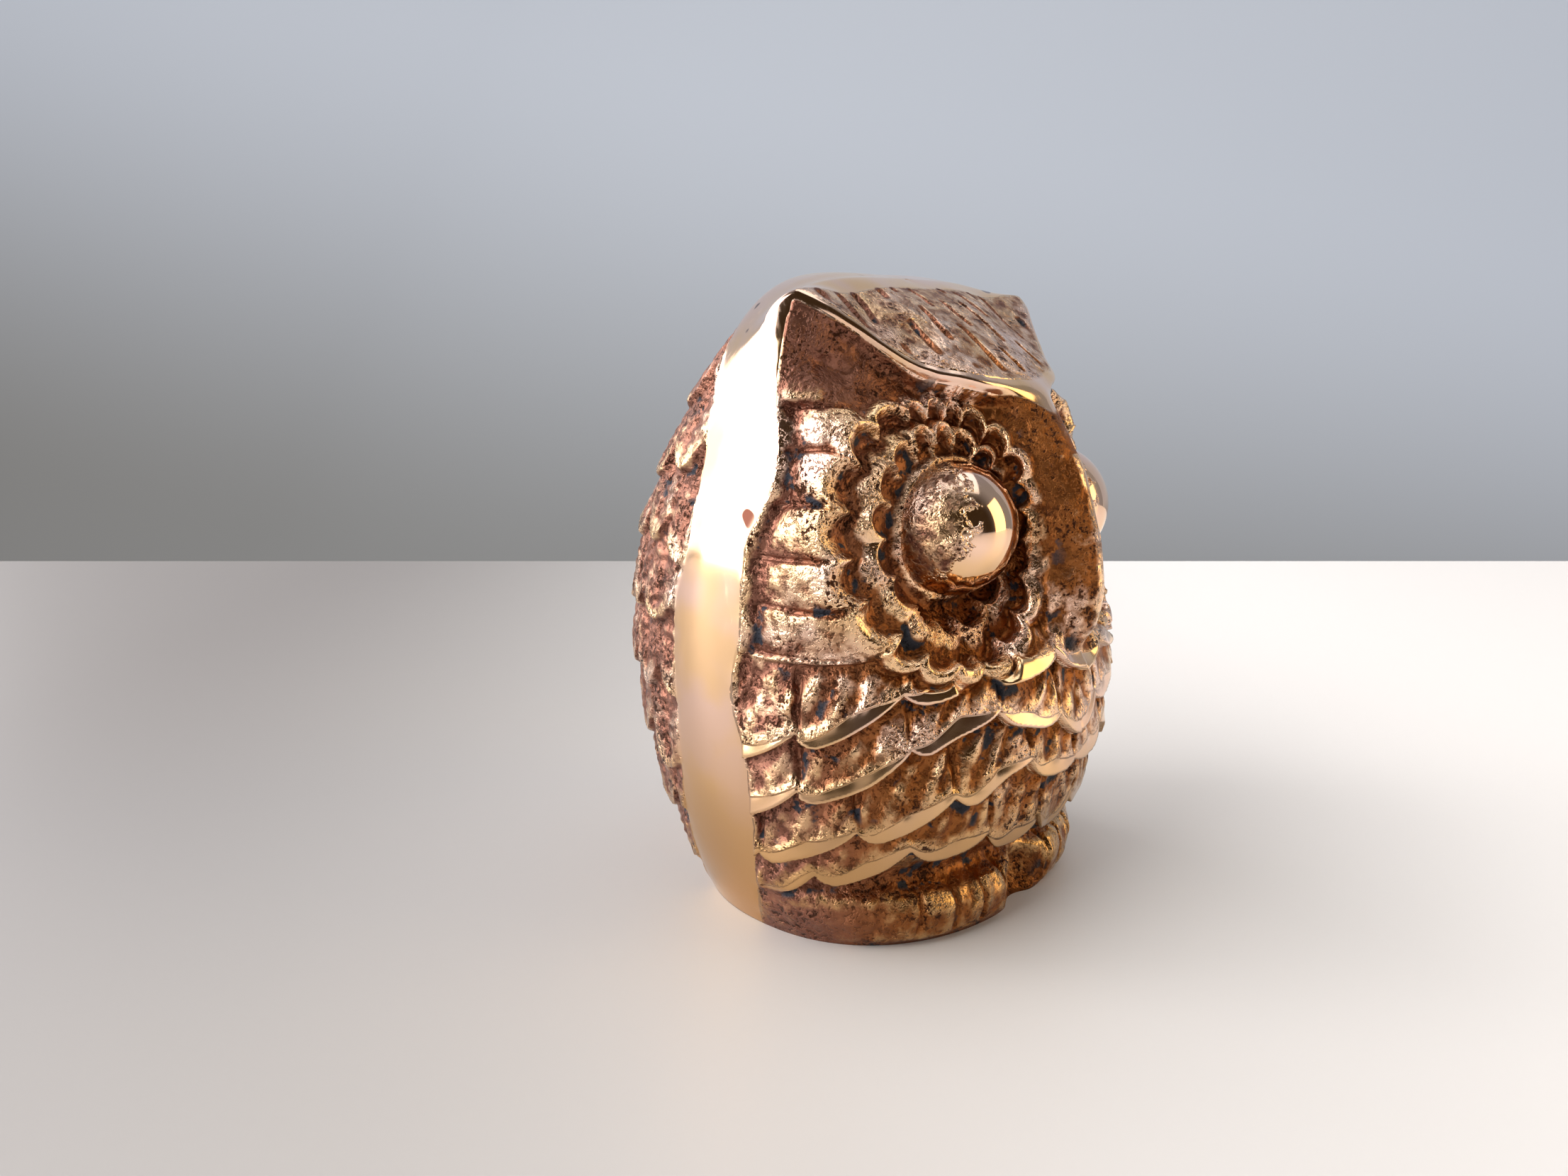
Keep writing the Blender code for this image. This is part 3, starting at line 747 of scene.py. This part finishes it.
def cast_brass(name, on_eye=False):
    """Bare brass on the high spots, brown skin and pits in the hollows, painted shade in recesses and low
    down.

    On an eye the wear follows its own sides, one brown and one rubbed, instead of the layers.
    """
    made = bpy.data.materials.new(name)
    made.use_nodes = True
    tree = made.node_tree
    shader = tree.nodes["Principled BSDF"]
    place = add_node(tree, "ShaderNodeTexCoord").outputs["Object"]
    fine = noise(tree, place, FINE_GRAIN, 3, 0.6)
    middle = noise(tree, place, MIDDLE_GRAIN, 3, 0.6)
    broad = noise(tree, place, BROAD_GRAIN, 2)
    patch = ramp(tree, noise(tree, place, 260, 2), 0.40, 0.62)
    split = add_node(tree, "ShaderNodeSeparateXYZ")
    link(tree, place, split.inputs[0])
    if on_eye:
        side = calc(tree, "MULTIPLY_ADD", split.outputs[0], 1000 / EYE_RADIUS, 0.40)
        side = calc(tree, "MULTIPLY_ADD", split.outputs[1], -250 / EYE_RADIUS, side)
        side = calc(tree, "ADD", side, calc(tree, "MULTIPLY_ADD", middle, 0.9, -0.45))
        polish = ramp(tree, side, -0.25, 0.20)
        cavity = calc(tree, "MULTIPLY_ADD", polish, 0.4, -0.02)
        rim = calc(tree, "MULTIPLY", polish, 0.5)
        dirt_and_shade = 0.0
    else:
        cavity = attribute(tree, "cavity")
        polish = attribute(tree, "polish")
        rim = attribute(tree, "rim")
        dirt_and_shade = attribute(tree, "dirt_and_shade")

    bare = calc(tree, "MULTIPLY_ADD", cavity, 2.3, 0.56)
    bare = calc(tree, "ADD", bare, calc(tree, "MULTIPLY_ADD", middle, 1.3, -0.65))
    bare = calc(tree, "ADD", bare, calc(tree, "MULTIPLY_ADD", broad, 0.9, -0.45))
    bare = calc(tree, "ADD", bare, calc(tree, "MULTIPLY", polish, 1.6))
    bare = calc(tree, "ADD", bare, calc(tree, "MULTIPLY", rim, 0.6))
    # The layer of dirt and painted shade turns the bare brass brown
    bare = ramp(tree, calc(tree, "SUBTRACT", bare, dirt_and_shade), 0.15, 0.75)
    smoothed = calc(tree, "ADD", calc(tree, "ADD", polish, rim), calc(tree, "MULTIPLY", cavity, 0.35))
    grain = ramp(tree, smoothed, 0.50, 0.10)
    grain = calc(tree, "MULTIPLY", grain, calc(tree, "MULTIPLY_ADD", patch, 0.7, 0.3))
    hole = ramp(tree, calc(tree, "ADD", fine, calc(tree, "MULTIPLY", middle, 0.6)), 0.76, 0.67)
    hole = calc(tree, "MULTIPLY", hole, grain)

    metal = blend(tree, ramp(tree, broad, 0.35, 0.65), BRIGHT, BRIGHT_ROSY)
    # Painted shade: the bare metal darkens towards the bottom, from 26 mm down to 6 mm
    if not on_eye:
        metal = blend(tree, ramp(tree, split.outputs[2], 0.026, 0.006), metal, BRIGHT_IN_SHADE)
    rosy = ramp(tree, split.outputs[1], -0.015, -0.005)
    orange_brown = blend(tree, middle, *ORANGE_BROWN)
    rose_brown = blend(tree, middle, *ROSE_BROWN)
    brown = blend(tree, rosy, orange_brown, rose_brown)
    colour = blend(tree, bare, brown, metal)
    colour = blend(tree, hole, colour, PIT)
    residue = calc(tree, "MULTIPLY", ramp(tree, noise(tree, place, 330, 3, 0.65), 0.57, 0.61),
                   ramp(tree, cavity, 0.02, -0.12))
    residue = calc(tree, "MULTIPLY", residue, calc(tree, "SUBTRACT", 1.0, polish, clamp=True))
    colour = blend(tree, residue, colour, RESIDUE)
    spot = calc(tree, "MULTIPLY", ramp(tree, noise(tree, place, 240, 1.5), 0.72, 0.74), polish)
    colour = blend(tree, spot, colour, SPOT)
    link(tree, colour, shader.inputs["Base Color"])
    rough = ramp(tree, bare, 0.0, 1.0, 0.42, 0.20)
    rough = calc(tree, "ADD", rough, calc(tree, "MULTIPLY", scratches(tree, place), polish))
    rough = calc(tree, "SUBTRACT", rough, calc(tree, "MULTIPLY", polish, 0.14 if on_eye else 0.08))
    rough = calc(tree, "ADD", rough, calc(tree, "MULTIPLY", residue, 0.3))
    link(tree, rough, shader.inputs["Roughness"])
    link(tree, ramp(tree, residue, 0, 1, 1.0, 0.0), shader.inputs["Metallic"])

    depth = calc(tree, "MULTIPLY_ADD", middle, 1.5, fine)
    depth = calc(tree, "MULTIPLY", depth, grain)
    depth = calc(tree, "SUBTRACT", depth, calc(tree, "MULTIPLY", hole, 0.9))
    bump = add_node(tree, "ShaderNodeBump", Strength=0.9, Distance=0.00026)
    link(tree, depth, bump.inputs["Height"])
    link(tree, bump.outputs[0], shader.inputs["Normal"])
    return made


def brushed_plate():
    """Thin brass sheet with fine brushing one way and brown tarnish."""
    made = bpy.data.materials.new("brushed_plate")
    made.use_nodes = True
    tree = made.node_tree
    shader = tree.nodes["Principled BSDF"]
    shader.inputs["Metallic"].default_value = 1.0
    place = add_node(tree, "ShaderNodeTexCoord").outputs["Object"]
    stretched = add_node(tree, "ShaderNodeVectorMath", operation="MULTIPLY")
    stretched.inputs[1].default_value = (0.03, 1, 1)
    link(tree, place, stretched.inputs[0])
    lines = noise(tree, stretched.outputs[0], 6000, 3, 0.6)
    tarnish = ramp(tree, noise(tree, place, 220, 4, 0.6), 0.45, 0.7)
    colour = blend(tree, tarnish, PLATE_CLEAN, PLATE_TARNISH)
    link(tree, colour, shader.inputs["Base Color"])
    rough = calc(tree, "MULTIPLY_ADD", lines, 0.25, 0.26)
    link(tree, calc(tree, "MULTIPLY_ADD", tarnish, 0.18, rough), shader.inputs["Roughness"])
    bump = add_node(tree, "ShaderNodeBump", Strength=0.5, Distance=0.00003)
    link(tree, lines, bump.inputs["Height"])
    link(tree, bump.outputs[0], shader.inputs["Normal"])
    return made


def felt():
    """Dark green felt: short matted fibres with a soft sheen."""
    made = flat_paint("felt", FELT_FLAT, 0.95)
    tree = made.node_tree
    shader = tree.nodes["Principled BSDF"]
    shader.inputs["Sheen Weight"].default_value = 0.4
    shader.inputs["Sheen Roughness"].default_value = 0.6
    place = add_node(tree, "ShaderNodeTexCoord").outputs["Object"]
    warped = add_node(tree, "ShaderNodeTexNoise", Scale=5000.0, Detail=4.0, Roughness=0.7, Distortion=1.5)
    link(tree, place, warped.inputs["Vector"])
    fibre = warped.outputs["Fac"]
    matted = noise(tree, place, 400, 2)
    part = calc(tree, "MULTIPLY_ADD", matted, 0.6, calc(tree, "MULTIPLY", fibre, 0.6))
    colour = blend(tree, ramp(tree, part, 0.35, 0.85), FELT_DARK, FELT_PALE)
    link(tree, colour, shader.inputs["Base Color"])
    bump = add_node(tree, "ShaderNodeBump", Strength=0.7, Distance=0.0001)
    link(tree, part, bump.inputs["Height"])
    link(tree, bump.outputs[0], shader.inputs["Normal"])
    return made


def dome(name, side):
    """Eye stud: a half ball on a short shank, facing out of its socket."""
    angles = np.linspace(0, math.pi / 2, DOME_RINGS)[:-1]
    profile = [(EYE_RADIUS, -DOME_SHANK)]
    profile += [(EYE_RADIUS * math.cos(a), EYE_RADIUS * math.sin(a)) for a in angles]
    turns = np.arange(DOME_STEPS) / DOME_STEPS * 2 * math.pi
    verts = [(r * math.cos(a), r * math.sin(a), h) for r, h in profile for a in turns]
    foot = len(verts)
    top = foot + 1
    verts += [(0, 0, -DOME_SHANK), (0, 0, EYE_RADIUS)]
    last = foot - DOME_STEPS
    faces = []
    for j in range(DOME_STEPS):
        k = (j + 1) % DOME_STEPS
        faces.append((foot, k, j))
        rows = range(0, last, DOME_STEPS)
        faces += [(row + j, row + k, row + DOME_STEPS + k, row + DOME_STEPS + j) for row in rows]
        faces.append((last + j, last + k, top))
    mesh = bpy.data.meshes.new(name)
    mesh.from_pydata([(x * MM, y * MM, z * MM) for x, y, z in verts], [], faces)
    mesh.update()
    mesh.shade_smooth()
    mesh.set_sharp_from_angle(angle=math.radians(50))
    piece = bpy.data.objects.new(name, mesh)
    out = EYE_X + EYE_LIFT * math.sin(FACE_TURN)
    ahead = EYE_DEPTH - EYE_LIFT * math.cos(FACE_TURN)
    piece.location = (side * out * MM, (ahead + PARTING_Y) * MM, EYE_Z * MM)
    piece.rotation_euler = (math.pi / 2, 0, side * FACE_TURN)
    bpy.context.collection.objects.link(piece)
    return piece


def build():
    """The visible pieces, and the looks of the plate and the felt kept from the frame."""
    points, layers = carved_owl()
    front = half("front_shell", points, layers, 0, FRONT_COLUMNS)
    back = half("back_shell", points, layers, FRONT_COLUMNS, BACK_COLUMNS)
    brass = cast_brass("cast_brass")
    halves = ((front, "front_casting", "face_brass"), (back, "back_casting", "back_brass"))
    for piece, node, slot in halves:
        piece.data.materials.append(brass)
        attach(piece, BODY)
        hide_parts(node)
    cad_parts["base_plate"].material_slots[0].material = brushed_plate()
    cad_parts["felt_pad"].material_slots[0].material = felt()
    eye_brass = cast_brass("eye_brass", on_eye=True)
    for node, side in (("right_eye", -1), ("left_eye", 1)):
        piece = dome(node + "_stud", side)
        piece.data.materials.append(eye_brass)
        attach(piece, BODY)
        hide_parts(node)


# ---------------------------------------------------------------- surroundings, in metres

CAMERA_PLACE = (-0.09454, -0.06523, 0.054)
CAMERA_TURN = math.radians(50.6)
CAMERA_DROP = math.radians(12.7)
CAMERA_LENS = 27.03
CAMERA_SENSOR = 36

# Distances of the table's far edge and of the wall from below the camera
TABLE_EDGE, TABLE_HALF_WIDTH, TABLE_LENGTH = 0.268, 1.2, 1.6
WALL_AWAY, WALL_DROP, WALL_HALF_WIDTH, WALL_HEIGHT = 1.3, 0.65, 2.5, 2.4

# Name, place, size, watts and colour of each lamp; all of them face LAMP_TARGET
LAMPS = [
    ("window", (-0.62, 0.34, 0.36), (0.85, 0.90), 11, (1.0, 0.98, 0.97)),
    ("side_window", (-0.20, 0.70, 0.40), (0.80, 0.85), 5, (1.0, 0.97, 0.97)),
    ("ceiling", (0.15, -0.1, 0.9), (0.7, 0.7), 2.0, (0.95, 0.98, 1.0)),
    ("warm_glow", (0.35, -0.55, 0.22), (0.30, 0.45), 1.1, (1.0, 0.74, 0.36)),
]
LAMP_TARGET = (0, 0, 0.03)


def stage():
    """Pale table that ends behind the owl, grey wall, window on the left and a dark room in front."""
    bpy.context.scene.view_settings.view_transform = "Standard"
    ahead = np.array([math.sin(CAMERA_TURN), math.cos(CAMERA_TURN), 0])
    across = np.array([math.cos(CAMERA_TURN), -math.sin(CAMERA_TURN), 0])
    foot = np.array([CAMERA_PLACE[0], CAMERA_PLACE[1], 0])
    edge = foot + ahead * TABLE_EDGE
    panel("table", edge, across * TABLE_HALF_WIDTH, -ahead * TABLE_LENGTH, table_top(across))
    wall = foot + ahead * WALL_AWAY - np.array([0, 0, WALL_DROP])
    panel("wall", wall, across * WALL_HALF_WIDTH, np.array([0, 0, WALL_HEIGHT]), wall_paint(across))
    room_light(-ahead)
    for name, place, size, power, colour in LAMPS:
        lamp(name, place, size, power, colour)


def along_way(tree, place, way):
    """How far a place is along a direction."""
    made = add_node(tree, "ShaderNodeVectorMath", operation="DOT_PRODUCT")
    made.inputs[1].default_value = tuple(way)
    link(tree, place, made.inputs[0])
    return made.outputs["Value"]


def table_top(across):
    """Pale top, slightly greyer on the window side, where the light is stronger."""
    paint = flat_paint("pale_table", (0.5, 0.5, 0.5), 0.45)
    tree = paint.node_tree
    far = along_way(tree, add_node(tree, "ShaderNodeTexCoord").outputs["Object"], across)
    colour = blend(tree, ramp(tree, far, -0.12, 0.08), (0.24, 0.22, 0.21), (0.82, 0.79, 0.76))
    shader = tree.nodes["Principled BSDF"]
    link(tree, colour, shader.inputs["Base Color"])
    # Painted light: the side of the table away from the window glows a little
    glow = blend(tree, ramp(tree, far, -0.04, 0.10), (0, 0, 0), (0.17, 0.16, 0.16))
    link(tree, glow, shader.inputs["Emission Color"])
    shader.inputs["Emission Strength"].default_value = 1.0
    return paint


def wall_paint(across):
    """Grey wall that glows a little, darker towards the table."""
    paint = flat_paint("grey_wall", (0.20, 0.22, 0.24), 0.9)
    tree = paint.node_tree
    shader = tree.nodes["Principled BSDF"]
    place = add_node(tree, "ShaderNodeTexCoord").outputs["Object"]
    lit = ramp(tree, along_way(tree, place, (*(across * 0.2)[:2], 1)), -0.30, 0.30)
    glow = blend(tree, lit, (0.17, 0.165, 0.16), (0.43, 0.455, 0.51))
    link(tree, glow, shader.inputs["Emission Color"])
    shader.inputs["Emission Strength"].default_value = 1.0
    return paint


def room_light(towards_camera):
    """World light: pale grey all round, dark and warm on the camera's side."""
    world = bpy.data.worlds.new("room")
    world.use_nodes = True
    tree = world.node_tree
    facing = along_way(tree, add_node(tree, "ShaderNodeTexCoord").outputs["Generated"], towards_camera)
    dark = ramp(tree, facing, -0.1, 0.5)
    colour = blend(tree, dark, (0.28, 0.29, 0.31), (0.04, 0.026, 0.013))
    link(tree, colour, tree.nodes["Background"].inputs["Color"])
    bpy.context.scene.world = world


def flat_paint(name, colour, roughness):
    paint = bpy.data.materials.new(name)
    paint.use_nodes = True
    shader = paint.node_tree.nodes["Principled BSDF"]
    shader.inputs["Base Color"].default_value = (*colour, 1)
    shader.inputs["Roughness"].default_value = roughness
    return paint


def panel(name, middle, half_side, run, paint):
    """Flat sheet from the middle of one edge, half of that edge, and the way across the sheet."""
    left = middle - half_side
    right = middle + half_side
    corners = [left, right, right + run, left + run]
    mesh = bpy.data.meshes.new(name)
    mesh.from_pydata([tuple(c) for c in corners], [], [(0, 1, 2, 3)])
    mesh.materials.append(paint)
    piece = bpy.data.objects.new(name, mesh)
    bpy.context.collection.objects.link(piece)


def lamp(name, place, size, power, colour):
    light = bpy.data.lights.new(name, "AREA")
    light.shape = "RECTANGLE"
    light.size, light.size_y = size
    light.energy = power
    light.color = colour
    made = bpy.data.objects.new(name, light)
    made.location = place
    made.rotation_euler = look_along(np.array(LAMP_TARGET) - np.array(place))
    bpy.context.collection.objects.link(made)


def look_along(direction):
    """Turn that points an object's -Z axis along a direction, with its Y axis up."""
    x, y, z = direction
    return (math.pi / 2 + math.atan2(z, math.hypot(x, y)), 0, -math.atan2(x, y))


def camera():
    data = bpy.data.cameras.new("camera")
    data.sensor_width = CAMERA_SENSOR
    data.lens = CAMERA_LENS
    data.clip_start = 0.005
    eye = bpy.data.objects.new("camera", data)
    eye.location = CAMERA_PLACE
    eye.rotation_euler = (math.pi / 2 - CAMERA_DROP, 0, -CAMERA_TURN)
    bpy.context.collection.objects.link(eye)
    bpy.context.scene.camera = eye


camera()
stage()
build()
